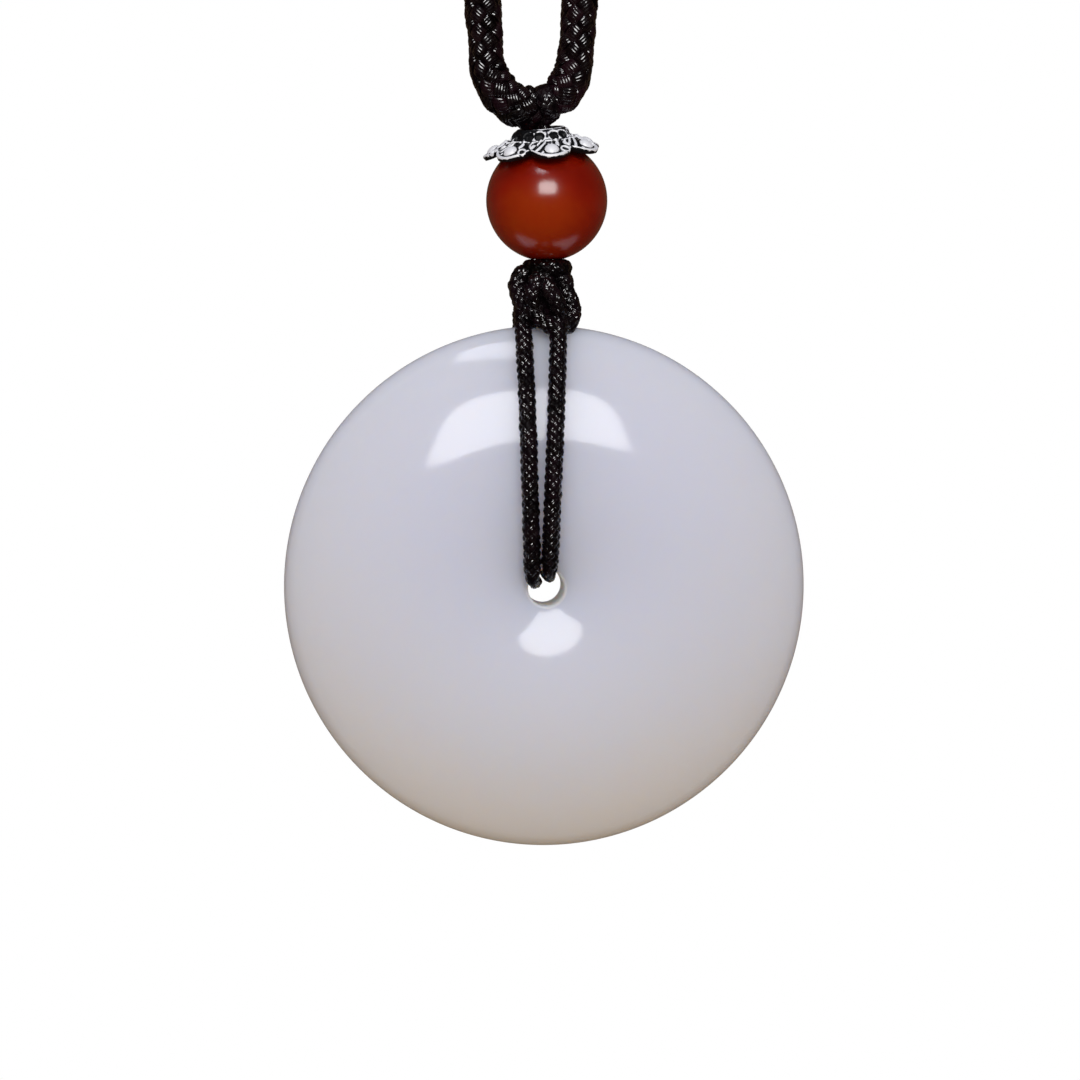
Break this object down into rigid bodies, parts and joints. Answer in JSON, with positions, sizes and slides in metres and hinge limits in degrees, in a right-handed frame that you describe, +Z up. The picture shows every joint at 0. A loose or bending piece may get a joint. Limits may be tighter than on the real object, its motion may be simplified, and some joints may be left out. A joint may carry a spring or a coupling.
{
  "type": "jade disc pendant necklace",
  "caption": "Polished jade disc hung by a thin cord from a knot, an agate bead and a flower-shaped metal cap on a braided neck cord.",
  "frame": {"origin": "inside top of the neck loop, under the thread wrap, where a neck, peg or hook carries it", "axes": "+Z up, against the way it hangs; the disc's front faces -Y; +X is to the right as seen from the front"},
  "size_m": [0.043, 0.013, 0.3548],
  "materials": {
    "jade": "polished, milky white",
    "agate": "polished, red-brown",
    "antiqued_silver": "cast, antiqued: bright relief, dark recesses",
    "thick_braid": "waxed round braid, near black",
    "thin_braid": "waxed fine round braid, near black",
    "wound_thread": "tight thread winding"
  },
  "bodies": {
    "necklace": {"neck_cord": "thick_braid", "cord_join": "wound_thread"},
    "pendant": {"hanging_loop": "thin_braid", "bead_cap": "antiqued_silver", "agate_bead": "agate", "cord_knot": "thin_braid", "strand_left": "thin_braid", "strand_right": "thin_braid", "jade_disc": "jade"}
  },
  "joints": [
    {"name": "pendant_swing", "type": "hinge", "parent": "necklace", "child": "pendant", "pos_m": [0.0002, 0, -0.28917], "axis": [0.9421, 0, 0.3355], "range_deg": [-70, 70]}
  ]
}
